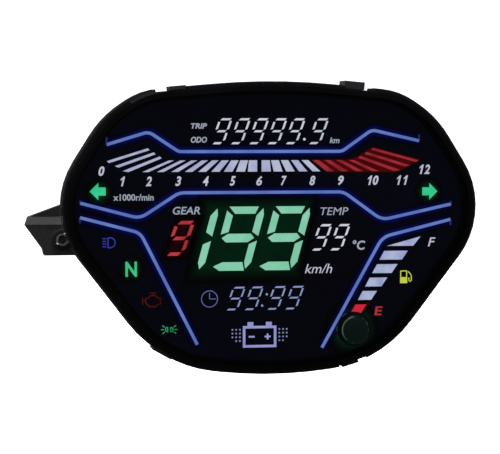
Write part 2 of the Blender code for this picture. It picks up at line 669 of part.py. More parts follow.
def build():
    looks = {
        "lens": material("smoked_lens", (0.02, 0.02, 0.022), 0.12, alpha=0.45),
        "housing": material("black_housing", (0.03, 0.03, 0.032), 0.5),
        "mask": material("black_mask", (0.008, 0.008, 0.009), 0.55),
        "rubber": material("black_rubber", (0.02, 0.02, 0.02), 0.8),
        "sheet": material("face_film", (0.008, 0.008, 0.012), 0.3, alpha=0.75),
        "polarizer": material("dark_polarizer", (0.01, 0.01, 0.015), 0.3, alpha=0.6),
        "display_glass": material("display_glass", (0.6, 0.65, 0.7), 0.05, alpha=0.3),
        "film": material("colour_film", (0.2, 0.3, 0.7), 0.4),
        "diffuser": material("diffuser", (0.85, 0.85, 0.85), 0.7),
        "white": material("white_reflector", (0.8, 0.8, 0.78), 0.5),
        "led": material("led_phosphor", (0.9, 0.85, 0.4), 0.4),
        "board": material("board_green", (0.02, 0.12, 0.05), 0.45),
        "chip": material("chip_black", (0.02, 0.02, 0.02), 0.4),
        "ferrite": material("ferrite", (0.06, 0.06, 0.065), 0.6),
        "steel": material("plated_steel", (0.6, 0.6, 0.58), 0.3, metallic=1.0),
        "aluminium": material("aluminium_can", (0.75, 0.75, 0.76), 0.35, metallic=1.0),
        "brass": material("tinned_brass", (0.75, 0.7, 0.55), 0.3, metallic=1.0),
        "socket": material("socket_white", (0.75, 0.74, 0.68), 0.5),
        "button": material("button_smoke", (0.01, 0.03, 0.025), 0.08),
    }
    build_lens(looks["lens"])
    build_seal(looks["rubber"])
    build_bezel(looks["mask"])
    build_face_sheet(looks["sheet"])
    build_display(looks)
    build_light_box(looks["white"], looks["led"])
    build_board(looks["board"])
    build_components(looks)
    build_button(looks)
    build_housing(looks["housing"])
    build_screws(looks["steel"])
    build_mount_fittings(looks["rubber"], looks["steel"], looks["brass"])
    build_socket(looks["socket"], looks["brass"])
    build_vent(looks["rubber"])


clear_scene()
PARTS = collection("instrument_cluster")
TOOLS = collection("cutters")
build()
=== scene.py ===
"""Looks of the motorcycle instrument cluster: its finishes, its lit display, the studio and the camera.

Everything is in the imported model's frame: +Z up, +X to the rider's right, the face towards -Y. Sizes of the
display are in millimetres, as (u, v): u to the right of the legends' middle, v up from the frame's origin,
both before LEGEND_SPREAD widens them.
"""
import math

import bmesh
import bpy
from mathutils import Matrix, Vector


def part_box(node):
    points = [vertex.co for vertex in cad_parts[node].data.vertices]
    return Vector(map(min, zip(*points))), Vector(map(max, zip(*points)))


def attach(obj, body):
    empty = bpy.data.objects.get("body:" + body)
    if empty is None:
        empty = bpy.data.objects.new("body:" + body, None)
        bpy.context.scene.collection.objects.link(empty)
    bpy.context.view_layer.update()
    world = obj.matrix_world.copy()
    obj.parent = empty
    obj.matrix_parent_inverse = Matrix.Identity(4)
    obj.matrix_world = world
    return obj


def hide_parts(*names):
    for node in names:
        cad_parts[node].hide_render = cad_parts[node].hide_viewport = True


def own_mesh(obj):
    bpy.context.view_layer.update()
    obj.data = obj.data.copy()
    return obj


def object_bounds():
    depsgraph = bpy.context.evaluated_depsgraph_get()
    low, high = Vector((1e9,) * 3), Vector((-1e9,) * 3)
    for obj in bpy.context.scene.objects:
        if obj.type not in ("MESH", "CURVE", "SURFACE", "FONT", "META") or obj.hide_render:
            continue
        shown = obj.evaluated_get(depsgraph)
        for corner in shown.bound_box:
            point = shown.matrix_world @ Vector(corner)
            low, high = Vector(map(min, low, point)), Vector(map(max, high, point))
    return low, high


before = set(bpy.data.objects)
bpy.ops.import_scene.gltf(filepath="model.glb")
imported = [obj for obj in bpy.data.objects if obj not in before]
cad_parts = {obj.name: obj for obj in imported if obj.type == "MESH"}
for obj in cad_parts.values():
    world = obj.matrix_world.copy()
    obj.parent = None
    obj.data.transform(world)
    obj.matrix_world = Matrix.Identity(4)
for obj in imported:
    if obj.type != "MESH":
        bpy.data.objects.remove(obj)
CAD_LOW, CAD_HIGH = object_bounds()

MM = 0.001
LENS_PASSES = 0.5

# The lit legends lie on the face sheet, a little right of the middle of the display behind it. Stray light
# is drawn behind them, and neither touches the sheet.
DISPLAY_LOW, DISPLAY_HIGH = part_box("lcd_front_polarizer")
LEGEND_SHIFT = 1.3 * MM
LEGEND_SPREAD = 1.0066
MIDDLE_X = (DISPLAY_LOW.x + DISPLAY_HIGH.x) / 2 + LEGEND_SHIFT
SHEET_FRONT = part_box("face_sheet")[0].y
GLOW_DEPTH = SHEET_FRONT - 0.06 * MM
INK_BACK = SHEET_FRONT - 0.10 * MM
INK_FRONT = SHEET_FRONT - 0.18 * MM
GLOW_THICKNESS = 0.03 * MM
WELD = 0.001 * MM

# Colours of the display, as they look from outside, in sRGB.
LINE_BLUE = (0.39, 0.49, 0.75)
HALO_BLUE = (0.02, 0.04, 0.36)
BAR_WHITE = (0.71, 0.73, 0.82)
DIGIT_WHITE = (0.80, 0.82, 0.87)
LEGEND_WHITE = (0.76, 0.77, 0.84)
LEGEND_GREY = (0.62, 0.65, 0.71)
LAVENDER = (0.54, 0.60, 0.77)
BAR_RED = (0.62, 0.17, 0.21)
DIGIT_RED = (0.74, 0.22, 0.26)
LOW_FUEL_RED = (0.78, 0.15, 0.21)
SPEED_GREEN = (0.53, 0.80, 0.68)
TURN_GREEN = (0.22, 0.80, 0.58)
NEUTRAL_GREEN = (0.26, 0.76, 0.52)
POSITION_GREEN = (0.20, 0.64, 0.42)
BEAM_BLUE = (0.20, 0.22, 0.62)
ENGINE_RED = (0.33, 0.06, 0.07)
PUMP_YELLOW = (0.78, 0.82, 0.30)


def linear(colour):
    """An sRGB colour as linear values."""
    return tuple(c / 12.92 if c <= 0.04045 else ((c + 0.055) / 1.055) ** 2.4 for c in colour)


# Materials.

class Nodes:
    """A material's node tree, with short ways to add and join nodes."""

    def __init__(self, name):
        self.material = bpy.data.materials.new(name)
        self.material.use_nodes = True
        self.tree = self.material.node_tree
        self.shader = self.tree.nodes["Principled BSDF"]

    def add(self, kind, **settings):
        node = self.tree.nodes.new(kind)
        for key, value in settings.items():
            setattr(node, key, value)
        return node

    def link(self, source, target):
        self.tree.links.new(source, target)

    def place(self):
        return self.add("ShaderNodeTexCoord").outputs["Object"]

    def noise(self, scale, detail=4.0, roughness=0.55, vector=None):
        node = self.add("ShaderNodeTexNoise")
        node.inputs["Scale"].default_value = scale
        node.inputs["Detail"].default_value = detail
        node.inputs["Roughness"].default_value = roughness
        self.link(vector or self.place(), node.inputs["Vector"])
        return node.outputs["Fac"]

    def spread(self, source, low, high, from_low=0.3, from_high=0.7):
        """A value turned from one range to another."""
        node = self.add("ShaderNodeMapRange")
        node.inputs["From Min"].default_value = from_low
        node.inputs["From Max"].default_value = from_high
        node.inputs["To Min"].default_value = low
        node.inputs["To Max"].default_value = high
        self.link(source, node.inputs["Value"])
        return node.outputs["Result"]

    def ramp(self, source, stops):
        """A colour ramp through (place, linear colour) stops."""
        node = self.add("ShaderNodeValToRGB")
        elements = node.color_ramp.elements
        while len(elements) < len(stops):
            elements.new(0.5)
        for element, (place, colour) in zip(elements, stops):
            element.position = place
            element.color = (*colour, 1.0)
        self.link(source, node.inputs["Fac"])
        return node.outputs["Color"]

    def math(self, operation, first, second):
        node = self.add("ShaderNodeMath", operation=operation)
        for socket, value in zip(node.inputs, (first, second)):
            if isinstance(value, (int, float)):
                socket.default_value = value
            else:
                self.link(value, socket)
        return node.outputs["Value"]

    def bump(self, height, distance, strength=1.0):
        node = self.add("ShaderNodeBump")
        node.inputs["Distance"].default_value = distance
        node.inputs["Strength"].default_value = strength
        self.link(height, node.inputs["Height"])
        self.link(node.outputs["Normal"], self.shader.inputs["Normal"])

    def feed(self, name, value):
        socket = self.shader.inputs[name]
        if isinstance(value, (int, float, tuple)):
            socket.default_value = (*value, 1.0) if isinstance(value, tuple) else value
        else:
            self.link(value, socket)


def surface(name, base, roughness, grain, grain_depth, metallic=0.0, varies=0.25, worn=None, coat=0.0):
    """A moulded, plated or rubber finish: mottled colour, uneven roughness, a fine grain, and worn edges."""
    nodes = Nodes(name)
    cloud = nodes.noise(60.0)
    dark = tuple(c * (1 - varies) for c in base)
    light = tuple(min(c * (1 + varies), 1.0) for c in base)
    colour = nodes.ramp(cloud, ((0.35, dark), (0.65, light)))
    if worn:
        edge = nodes.add("ShaderNodeNewGeometry").outputs["Pointiness"]
        sharp = nodes.spread(edge, 0.0, 1.0, 0.53, 0.60)
        rub = nodes.math("MULTIPLY", sharp, nodes.spread(nodes.noise(900.0), 0, 1))
        mix = nodes.add("ShaderNodeMix", data_type="RGBA")
        nodes.link(rub, mix.inputs["Factor"])
        nodes.link(colour, mix.inputs["A"])
        mix.inputs["B"].default_value = (*worn, 1.0)
        colour = mix.outputs["Result"]
    nodes.feed("Base Color", colour)
    nodes.feed("Roughness", nodes.spread(nodes.noise(220.0), roughness * 0.8, min(roughness * 1.2, 1.0)))
    nodes.feed("Metallic", metallic)
    nodes.feed("Coat Weight", coat)
    nodes.bump(nodes.noise(grain, detail=3.0), grain_depth)
    return nodes.material


def smoked_lens():
    """Smoked polycarbonate: a clear window, an opaque black rim, faint wipe marks and dust."""
    nodes = Nodes("smoked_lens_look")
    facing = nodes.add("ShaderNodeSeparateXYZ")
    nodes.link(nodes.add("ShaderNodeNewGeometry").outputs["True Normal"], facing.inputs["Vector"])
    flat = nodes.spread(nodes.math("ABSOLUTE", facing.outputs["Y"], 0.0), 0.0, 1.0, 0.95, 0.985)
    smoke = 1 - math.sqrt(LENS_PASSES)
    nodes.feed("Alpha", nodes.spread(flat, 1.0, smoke, 0.0, 1.0))
    tints = ((0.3, (0.0014, 0.0014, 0.0016)), (0.7, (0.0024, 0.0024, 0.0030)))
    nodes.feed("Base Color", nodes.ramp(nodes.noise(35.0), tints))
    stretched = nodes.add("ShaderNodeMapping")
    stretched.inputs["Scale"].default_value = (1.0, 1.0, 6.0)
    nodes.link(nodes.place(), stretched.inputs["Vector"])
    wiped = nodes.noise(40.0, vector=stretched.outputs["Vector"])
    nodes.feed("Roughness", nodes.spread(wiped, 0.035, 0.10))
    nodes.feed("IOR", 1.5)
    nodes.feed("Specular IOR Level", 0.3)
    nodes.bump(nodes.noise(25.0, detail=1.0), 0.00002)
    return nodes.material


def glowing(name, colour, second=None, strength=1.0, scale=110.0):
    """A lit part of the display. Its hue drifts a little where the light behind it is uneven."""
    nodes = Nodes(name)
    first = linear(colour)
    other = linear(second) if second else tuple(c * 0.86 for c in first)
    light = nodes.ramp(nodes.noise(scale, detail=2.0), ((0.38, other), (0.62, first)))
    nodes.feed("Base Color", (0.004, 0.004, 0.006))
    nodes.feed("Roughness", nodes.spread(nodes.noise(400.0), 0.3, 0.5))
    nodes.feed("Emission Color", light)
    nodes.feed("Emission Strength", strength / LENS_PASSES)
    return nodes.material


def fading(name, colour, strength=1.0):
    """Stray light round a lit part: bright in its middle and gone at its edge, by the mesh's own falloff."""
    nodes = Nodes(name)
    fall = nodes.add("ShaderNodeAttribute", attribute_name="falloff").outputs["Fac"]
    cloud = nodes.spread(nodes.noise(90.0), 0.75, 1.15)
    share = nodes.math("MULTIPLY", fall, cloud)
    nodes.feed("Base Color", (0.002, 0.002, 0.004))
    nodes.feed("Roughness", nodes.spread(nodes.noise(400.0), 0.3, 0.5))
    nodes.feed("Emission Color", nodes.ramp(share, ((0.0, (0.0, 0.0, 0.0)), (1.0, linear(colour)))))
    nodes.feed("Emission Strength", strength / LENS_PASSES)
    return nodes.material


# Legends: flat prisms just in front of the face sheet.

def on_sheet(u, v, depth):
    """A place on the face, in the model's frame."""
    return Vector((MIDDLE_X + u * LEGEND_SPREAD * MM, depth, v * LEGEND_SPREAD * MM))


def finish_piece(name, bm, look, body="case"):
    """Turns a mesh under construction into a named piece that rides a body."""
    data = bpy.data.meshes.new(name)
    bm.to_mesh(data)
    bm.free()
    data.materials.append(look)
    piece = bpy.data.objects.new(name, data)
    bpy.context.scene.collection.objects.link(piece)
    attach(piece, body)
    return piece


def area(points):
    """The signed area of an outline, positive when it runs anticlockwise."""
    return sum(a[0] * b[1] - b[0] * a[1] for a, b in zip(points, points[1:] + points[:1])) / 2


def prism(bm, points, front=INK_FRONT, back=INK_BACK):
    """One closed flat prism with a simple outline in (u, v)."""
    if area(points) < 0:
        points = points[::-1]
    near = [bm.verts.new(on_sheet(u, v, front)) for u, v in points]
    far = [bm.verts.new(on_sheet(u, v, back)) for u, v in points]
    bm.faces.new(near)
    bm.faces.new(far[::-1])
    for i in range(len(points)):
        bm.faces.new((near[i - 1], far[i - 1], far[i], near[i]))


def shapes(name, outlines, look):
    """One piece made of separate flat prisms."""
    bm = bmesh.new()
    for points in outlines:
        prism(bm, list(points))
    return finish_piece(name, bm, look)


def arc(centre, radius, start, end, steps=12):
    """Points on an arc, from one angle to another in degrees."""
    (u, v) = centre
    turns = [math.radians(start + (end - start) * k / steps) for k in range(steps + 1)]
    return [(u + radius * math.cos(a), v + radius * math.sin(a)) for a in turns]


def band(path, width):
    """The outline of a stroke of some width along an open path."""
    left, right = [], []
    for i, here in enumerate(path):
        before, after = path[max(i - 1, 0)], path[min(i + 1, len(path) - 1)]
        along = (Vector(after) - Vector(before)).normalized()
        across = Vector((-along.y, along.x)) * width / 2
        left.append(tuple(Vector(here) + across))
        right.append(tuple(Vector(here) - across))
    return left + right[::-1]


def ring(centre, outer, inner, steps=32):
    """A ring as two half bands, since a prism's outline has no hole."""
    middle, width = (outer + inner) / 2, outer - inner
    return [band(arc(centre, middle, 0, 180, steps // 2), width),
            band(arc(centre, middle, 180, 360, steps // 2), width)]


def rounded(path, radius, steps=6):
    """An open path with its inner corners rounded."""
    points = [path[0]]
    for before, here, after in zip(path, path[1:], path[2:]):
        b, h, a = Vector(before), Vector(here), Vector(after)
        back, ahead = (b - h).normalized(), (a - h).normalized()
        half = back.angle(ahead) / 2
        centre = h + (back + ahead).normalized() * radius / math.sin(half)
        first = h + back * radius / math.tan(half) - centre
        last = h + ahead * radius / math.tan(half) - centre
        turn = first.angle_signed(last)
        points += [tuple(centre + Matrix.Rotation(-turn * k / steps, 2) @ first) for k in range(steps + 1)]
    return points + [path[-1]]


def halo(name, paths, look, reach, core):
    """Stray light along strokes: ribbons that fade from core to reach on each side."""
    bm = bmesh.new()
    layer = bm.verts.layers.float.new("falloff")
    profile = ((-1.0, 0.0), (-0.62, 0.16), (-0.30, 0.55), (0.30, 0.55), (0.62, 0.16), (1.0, 0.0))
    end_light = 0.4
    for path in paths:
        rows = []
        for i, here in enumerate(path):
            before, after = path[max(i - 1, 0)], path[min(i + 1, len(path) - 1)]
            along = (Vector(after) - Vector(before)).normalized()
            across = Vector((-along.y, along.x))
            end = i in (0, len(path) - 1)
            row = []
            for share, light in profile:
                spot = Vector(here) + across * (share * reach + math.copysign(core, share))
                vert = bm.verts.new(on_sheet(spot.x, spot.y, GLOW_DEPTH))
                vert[layer] = light * (end_light if end else 1.0)
                row.append(vert)
            rows.append(row)
        for near, far in zip(rows, rows[1:]):
            for i in range(1, len(profile)):
                bm.faces.new((near[i - 1], far[i - 1], far[i], near[i]))
    thicken(bm)
    return finish_piece(name, bm, look)


def pool(name, outlines, look, spread, rings=5):
    """Stray light behind a lit block: full inside an outline, fading over the spread round it."""
    bm = bmesh.new()
    layer = bm.verts.layers.float.new("falloff")
    sharpest = 0.4
    for points in outlines:
        points = list(points) if area(list(points)) > 0 else list(points)[::-1]
        count = len(points)
        outward = []
        for i in range(count):
            before, here, after = (Vector(points[(i + k) % count]) for k in (-1, 0, 1))
            into, out = (here - before).normalized(), (after - here).normalized()
            normal = Vector(((into + out).y, -(into + out).x)).normalized()
            outward.append(normal / max(math.cos(into.angle(out) / 2), sharpest))
        loops = []
        for step in range(rings + 1):
            share = step / rings
            loop = []
            for here, normal in zip(points, outward):
                spot = Vector(here) + normal * spread * share
                vert = bm.verts.new(on_sheet(spot.x, spot.y, GLOW_DEPTH))
                vert[layer] = (1 - share) ** 2
                loop.append(vert)
            loops.append(loop)
        bm.faces.new(loops[0])
        for inner, outer in zip(loops, loops[1:]):
            for i in range(count):
                bm.faces.new((inner[i - 1], outer[i - 1], outer[i], inner[i]))
    thicken(bm)
    return finish_piece(name, bm, look)


def thicken(bm):
    """Turns open sheets into thin closed ones, by a second skin behind them joined along the border."""
    bmesh.ops.recalc_face_normals(bm, faces=bm.faces[:])
    made = bmesh.ops.extrude_face_region(bm, geom=bm.faces[:])
    back = [part for part in made["geom"] if isinstance(part, bmesh.types.BMVert)]
    bmesh.ops.translate(bm, vec=(0, GLOW_THICKNESS, 0), verts=back)
    bmesh.ops.recalc_face_normals(bm, faces=bm.faces[:])


# Blue guide lines: the upper two from left to right, the lower two inwards from their outer ends.
UPPER_LINE = ((-75.7, 39.1), (-56.2, 45.0), (-42.2, 35.8), (35.4, 35.8), (49.8, 45.9), (72.8, 40.7))
MIDDLE_LINE = ((-88.0, 12.2), (-60.4, 4.9), (-42.0, 16.7), (36.2, 16.7), (54.8, 3.3), (88.6, 10.6))
LOWER_LEFT_LINE = ((-88.1, 5.5), (-60.2, -1.8), (-33.6, -54.3))
LOWER_RIGHT_LINE = ((88.4, 3.3), (55.2, -4.8), (25.9, -56.9))
LINE_WIDTH = 1.45
HOOK_WIDTH = 0.9


def build_guide_lines():
    bends = ((UPPER_LINE, 5.0), (MIDDLE_LINE, 8.5), (LOWER_LEFT_LINE, 7.0), (LOWER_RIGHT_LINE, 9.0))
    paths = [rounded(list(line), radius) for line, radius in bends]
    ends = ((UPPER_LINE[0], 3.4), (UPPER_LINE[-1], 3.0), (MIDDLE_LINE[0], 1.4), (MIDDLE_LINE[-1], 1.6),
            (LOWER_LEFT_LINE[0], -2.6), (LOWER_RIGHT_LINE[0], -2.8))
    hooks = [[(u, v), (u, v + reach)] for (u, v), reach in ends]
    look = glowing("guide_line_light", LINE_BLUE, (0.34, 0.43, 0.70), scale=70.0)
    shapes("guide_lines", [band(path, LINE_WIDTH) for path in paths], look)
    dim = glowing("guide_hook_light", (0.15, 0.15, 0.42), (0.11, 0.11, 0.32))
    shapes("guide_line_hooks", [band(hook, HOOK_WIDTH) for hook in hooks], dim)
    halo("guide_line_glow", paths, fading("guide_line_stray_light", HALO_BLUE), 2.6, LINE_WIDTH / 2)


# Tachometer: 24 bars that fan out from the middle, nearly mirrored about it.
TACH_MIDDLE = -4.4
TACH_TOP, TACH_BOTTOM = 31.7, 26.4
TACH_SHORT_BARS = 9
TACH_STEP, TACH_STEP_GROWTH = 5.7, 0.085
LEFT_LEAN, RIGHT_LEAN = 1.48, 1.3
WHITE_RIGHT_BARS = 5
RIGHT_START, RIGHT_STRETCH = 0.5, 1.45e-5
FIRST_BAR, BAR_FOOT, BAR_HEAD, BAR_NARROWING = 0.8, 4.4, 3.9, 0.19

# Outline of the red stray light behind the red bars, before the right half is spread.
RED_ZONE = ((25.6, 31.4), (32.0, 26.7), (61.3, 26.5), (63.7, 27.0), (70.8, 31.7), (52.2, 37.2), (45.4, 32.8),
            (42.0, 31.4))


def short_bar(number, lean_step):
    """One short bar, as for the right half. It leans more the further it is from the middle."""
    near = FIRST_BAR + TACH_STEP * number + TACH_STEP_GROWTH * number ** 2
    lean = lean_step * number
    low_width, high_width = BAR_FOOT - BAR_NARROWING * number, BAR_HEAD - BAR_NARROWING * number
    return [(near, TACH_BOTTOM), (near + low_width, TACH_BOTTOM),
            (near + high_width - lean, TACH_TOP), (near - lean, TACH_TOP)]


def long_bar(number):
    """One of the three long thin bars that end the scale, each with its lower end cut level."""
    low_u, low_v = 61.3 + 4.5 * number, 26.4 + 2.1 * number
    high_u, high_v = 45.8 + 2.8 * number, 32.7 + 1.9 * number
    return [(low_u, low_v), (low_u + 2.6 - 0.85 * number, low_v + 0.5 + 0.2 * number),
            (high_u + 0.8, high_v + 0.9), (high_u, high_v)]


def spread_right(points):
    """The right half of the scale spreads a little wider towards its end."""
    return [(u * (1 + RIGHT_STRETCH * u * u) + RIGHT_START + TACH_MIDDLE, v) for u, v in points]


def build_tachometer():
    left, right = ([short_bar(k, lean_step) for k in range(TACH_SHORT_BARS)] + [long_bar(k) for k in range(3)]
                   for lean_step in (LEFT_LEAN, RIGHT_LEAN))
    white = [[(TACH_MIDDLE - u, v) for u, v in bar] for bar in left]
    white += [spread_right(bar) for bar in right[:WHITE_RIGHT_BARS]]
    red = [spread_right(bar) for bar in right[WHITE_RIGHT_BARS:]]
    shapes("tachometer_bars", white, glowing("tachometer_bar_light", BAR_WHITE, (0.64, 0.65, 0.79)))
    shapes("tachometer_red_bars", red, glowing("tachometer_red_light", BAR_RED, (0.50, 0.12, 0.16)))
    pool("tachometer_red_glow", [spread_right(RED_ZONE)], fading("red_stray_light", (0.28, 0.01, 0.02)), 1.3,
         rings=3)
    look = glowing("tachometer_numeral_light", LEGEND_WHITE)
    height = 4.5
    spots = (-68.8, -56.2, -42.4, -29.5, -16.8, -4.2, 7.5, 21.2, 34.9, 50.1, 64.2)
    for number, u in enumerate(spots, 1):
        numeral(number, (u, 22.1), height, look)
    numeral(0, (-78.1, 26.9), height, look)
    numeral(12, (75.2, 27.2), height, look)
    lettering("tachometer_unit", "x1000r/min", (-63.3, 14.7), (18.8, 3.1), glowing("unit_light", LEGEND_GREY),
              shear=0.0)


# Lettering: numerals, units and the usual short words of a dial.

def letters(bm, words, centre, size, shear, weight):
    """Adds raised letters, fitted to a width and height about a centre."""
    text = bpy.data.curves.new("letters", "FONT")
    text.body = words
    text.shear = shear
    text.offset = weight
    text.resolution_u = 3
    text.extrude = 0.05
    source = bpy.data.objects.new("letters", text)
    bpy.context.scene.collection.objects.link(source)
    data = bpy.data.meshes.new_from_object(source.evaluated_get(bpy.context.evaluated_depsgraph_get()))
    bpy.data.objects.remove(source, do_unlink=True)
    known = len(bm.verts)
    bm.from_mesh(data)
    bpy.data.meshes.remove(data)
    made = bm.verts[known:]
    low = [min(v.co[k] for v in made) for k in range(3)]
    high = [max(v.co[k] for v in made) for k in range(3)]
    for vert in made:
        across = (vert.co.x - low[0]) / (high[0] - low[0]) - 0.5
        up = (vert.co.y - low[1]) / (high[1] - low[1]) - 0.5
        front = vert.co.z > (low[2] + high[2]) / 2
        vert.co = on_sheet(centre[0] + across * size[0], centre[1] + up * size[1],
                           INK_FRONT if front else INK_BACK)
    bmesh.ops.remove_doubles(bm, verts=made, dist=WELD)


def lettering(name, words, centre, size, look, shear=0.28, weight=0.022):
    bm = bmesh.new()
    bm.verts.ensure_lookup_table()
    letters(bm, words, centre, size, shear, weight)
    return finish_piece(name, bm, look)


def numeral(number, centre, height, look):
    """A slanted bold number of the tachometer. Its 1 has a flag, drawn here."""
    narrow, slant, pitch = 0.62, 0.25, 0.72 * height
    one = ((0.10, -0.5), (0.38, -0.5), (0.38, 0.5), (0.16, 0.5), (-0.22, 0.24), (-0.22, 0.08), (0.10, 0.22))
    bm = bmesh.new()
    words = str(number)
    for place, digit in enumerate(words):
        u = centre[0] + (place - (len(words) - 1) / 2) * pitch
        if digit == "1":
            prism(bm, [(u + (x * narrow + z * slant) * height, centre[1] + z * height) for x, z in one])
        else:
            bm.verts.ensure_lookup_table()
            letters(bm, digit, (u, centre[1]), (narrow * height, height), slant, 0.03)
    return finish_piece(f"tachometer_numeral_{number}", bm, look)


# Seven-segment figures.

def fat_segments(width, height, stroke, gap):
    """Broad segments that meet along slanted gaps, as (name, outline) in an upright cell."""
    middle, corner, level = height * 0.51, stroke * 0.3, stroke * 0.59
    inner_low, inner_high = level * 2, height - stroke - gap
    above, below = middle + gap, middle - gap
    inner = width - stroke
    return {
        "top": [(gap * 0.7, height), (inner, height), (inner - gap, height - stroke),
                (stroke + gap, height - stroke)],
        "upper_left": [(0, height - gap - corner), (stroke, inner_high), (stroke, above + level),
                       (0, above + gap)],
        "upper_right": [(width - corner, height - gap), (width, height - gap - 3 * corner), (width, above),
                        (inner, above + level), (inner, inner_high)],
        "middle": [(gap, middle), (stroke, middle + level), (inner - gap / 2, middle + level),
                   (width - 2 * gap, middle), (inner - gap, middle - level), (stroke, middle - level)],
        "lower_left": [(0, below), (stroke, below - level), (stroke, inner_low + gap), (corner, gap),
                       (0, gap + 3 * corner)],
        "lower_right": [(width, below - gap / 2), (inner, below - level), (inner, inner_low),
                        (width - 2 * corner, gap), (width, gap + 3 * corner)],
        "bottom": [(gap / 2, level), (stroke + gap, inner_low), (inner - gap, inner_low), (inner + corner, 0),
                   (stroke + gap / 2, 0)],
    }


# How far the figures lean, as a share of their height, and the lowest segment's inset, of their width.
SLANT, SPEED_SLANT = 0.36, 0.272
FOOT_INSET = 0.17


def thin_segments(width, height, stroke, gap):
    """Narrow segments with clear gaps between them, in an upright cell. The lowest one is set in a little."""
    middle, lift = height / 2, stroke * 0.35

    def level(v, low, high):
        return [(low + lift, v + stroke / 2), (high + lift, v + stroke / 2),
                (high - lift, v - stroke / 2), (low - lift, v - stroke / 2)]

    def upright(u, low, high):
        return [(u, low), (u + stroke, low + stroke * 0.4), (u + stroke, high - stroke * 0.2), (u, high)]

    below, above = (stroke + gap, middle - gap), (middle + gap, height - stroke - gap)
    wide, narrow = (stroke * 1.1, width - stroke * 0.8), (stroke + gap * 0.5, width - stroke - gap * 0.5)
    return {
        "top": level(height - stroke / 2, *wide),
        "upper_left": upright(0, *above),
        "upper_right": upright(width - stroke, above[0], height - stroke * 0.8 - gap * 0.5),
        "middle": level(middle, *narrow),
        "lower_left": upright(0, *below),
        "lower_right": upright(width - stroke, *below),
        "bottom": level(stroke / 2, stroke * 0.3 + width * FOOT_INSET, width - stroke * 0.8 - gap),
    }


LIT = {"1": ("upper_right", "lower_right"),
       "9": ("top", "upper_left", "upper_right", "middle", "lower_right", "bottom")}


def figures(name, text, cells, base, size, stroke, gap, slant, look, cut=thin_segments):
    """A row of slanted figures; cells are where the cells' lower left corners are."""
    width, height = size
    segments = cut(width, height, stroke, gap)
    outlines = []
    for figure, start in zip(text, cells):
        for segment in LIT[figure]:
            outlines.append([(start + u + v * slant, base + v) for u, v in segments[segment]])
    return shapes(name, outlines, look)


def disc(centre, radius):
    """A disc's outline, as a twelve-sided polygon."""
    return arc(centre, radius, 0, 330, 11)


def build_figures():
    white = glowing("odometer_light", DIGIT_WHITE)
    cells = [-27.3 + 8.7 * k for k in range(5)] + [18.7]
    figures("odometer_figures", "999999", cells, 39.2, (6.2, 12.1), 0.95, 0.7, SLANT, white)
    shapes("odometer_point", [disc((17.3, 41.5), 0.65)], white)
    legend = glowing("legend_light", LEGEND_GREY)
    lettering("trip_legend", "TRIP", (-32.7, 47.7), (7.6, 2.5), legend, 0.2, 0.03)
    lettering("odometer_legend", "ODO", (-32.7, 41.3), (7.6, 2.8), legend, 0.2, 0.03)
    lettering("odometer_unit", "km", (31.8, 41.0), (4.8, 2.7), legend, 0.25, 0.02)
    lettering("gear_legend", "GEAR", (-38.6, 8.4), (12.8, 3.6), legend, 0.2, 0.012)
    lettering("temperature_legend", "TEMP", (31.8, 7.6), (13.4, 3.6), legend, 0.2, 0.0)
    lettering("speed_unit", "km/h", (24.2, -19.4), (13.2, 4.5), glowing("speed_unit_light", LEGEND_WHITE),
              weight=0.0)
    lettering("temperature_unit", "°C", (43.7, -8.5), (6.0, 4.6), legend, 0.12)
    red = glowing("gear_light", DIGIT_RED, (0.62, 0.17, 0.21))
    figures("gear_figure", "9", [-49.2], -12.6, (9.0, 16.2), 1.6, 0.75, SLANT, red)
    gear_block = [(-46.4, -11.0), (-40.2, -11.0), (-34.8, 3.0), (-41.0, 3.0)]
    pool("gear_glow", [gear_block], fading("gear_stray_light", (0.11, 0.0, 0.01), 0.8), 3.6, rings=4)
    figures("temperature_figures", "99", [20.1, 28.9], -10.9, (6.4, 12.4), 1.0, 0.7, SLANT,
            glowing("temperature_light", (0.84, 0.85, 0.90)))
    lavender = glowing("clock_light", LAVENDER, (0.49, 0.56, 0.74))
    figures("clock_figures", "9999", (-20.6, -12.0, -1.2, 7.4), -38.5, (6.1, 11.0), 0.78, 0.65, SLANT,
            lavender)
    shapes("clock_colon", [disc((-0.6, -31.2), 0.55), disc((-2.8, -36.5), 0.55)], lavender)
    build_speed()


def build_button_glow():
    """Green light that leaks round the button."""
    low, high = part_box("set_button")
    middle = (low + high) / 2
    centre = ((middle.x - MIDDLE_X) / MM / LEGEND_SPREAD, middle.z / MM / LEGEND_SPREAD)
    radius, reach = 7.6, 6.0
    pool("button_glow", [disc(centre, radius)], fading("button_stray_light", (0.03, 0.125, 0.10)), reach,
         rings=6)


def build_speed():
    green = glowing("speed_light", SPEED_GREEN, (0.49, 0.77, 0.64))
    cells = (-48.9, -27.1, -5.1)
    figures("speed_figures", "199", cells, -19.9, (18.0, 30.0), 3.4, 0.85, SPEED_SLANT, green,
            fat_segments)
    block = [(-32.0, -19.0), (11.0, -19.0), (16.5, 9.6), (-26.5, 9.6)]
    pool("speed_glow", [block], fading("speed_stray_light", (0.0, 0.115, 0.05)), 7.0, rings=8)


# Fuel gauge, telltales and symbols.

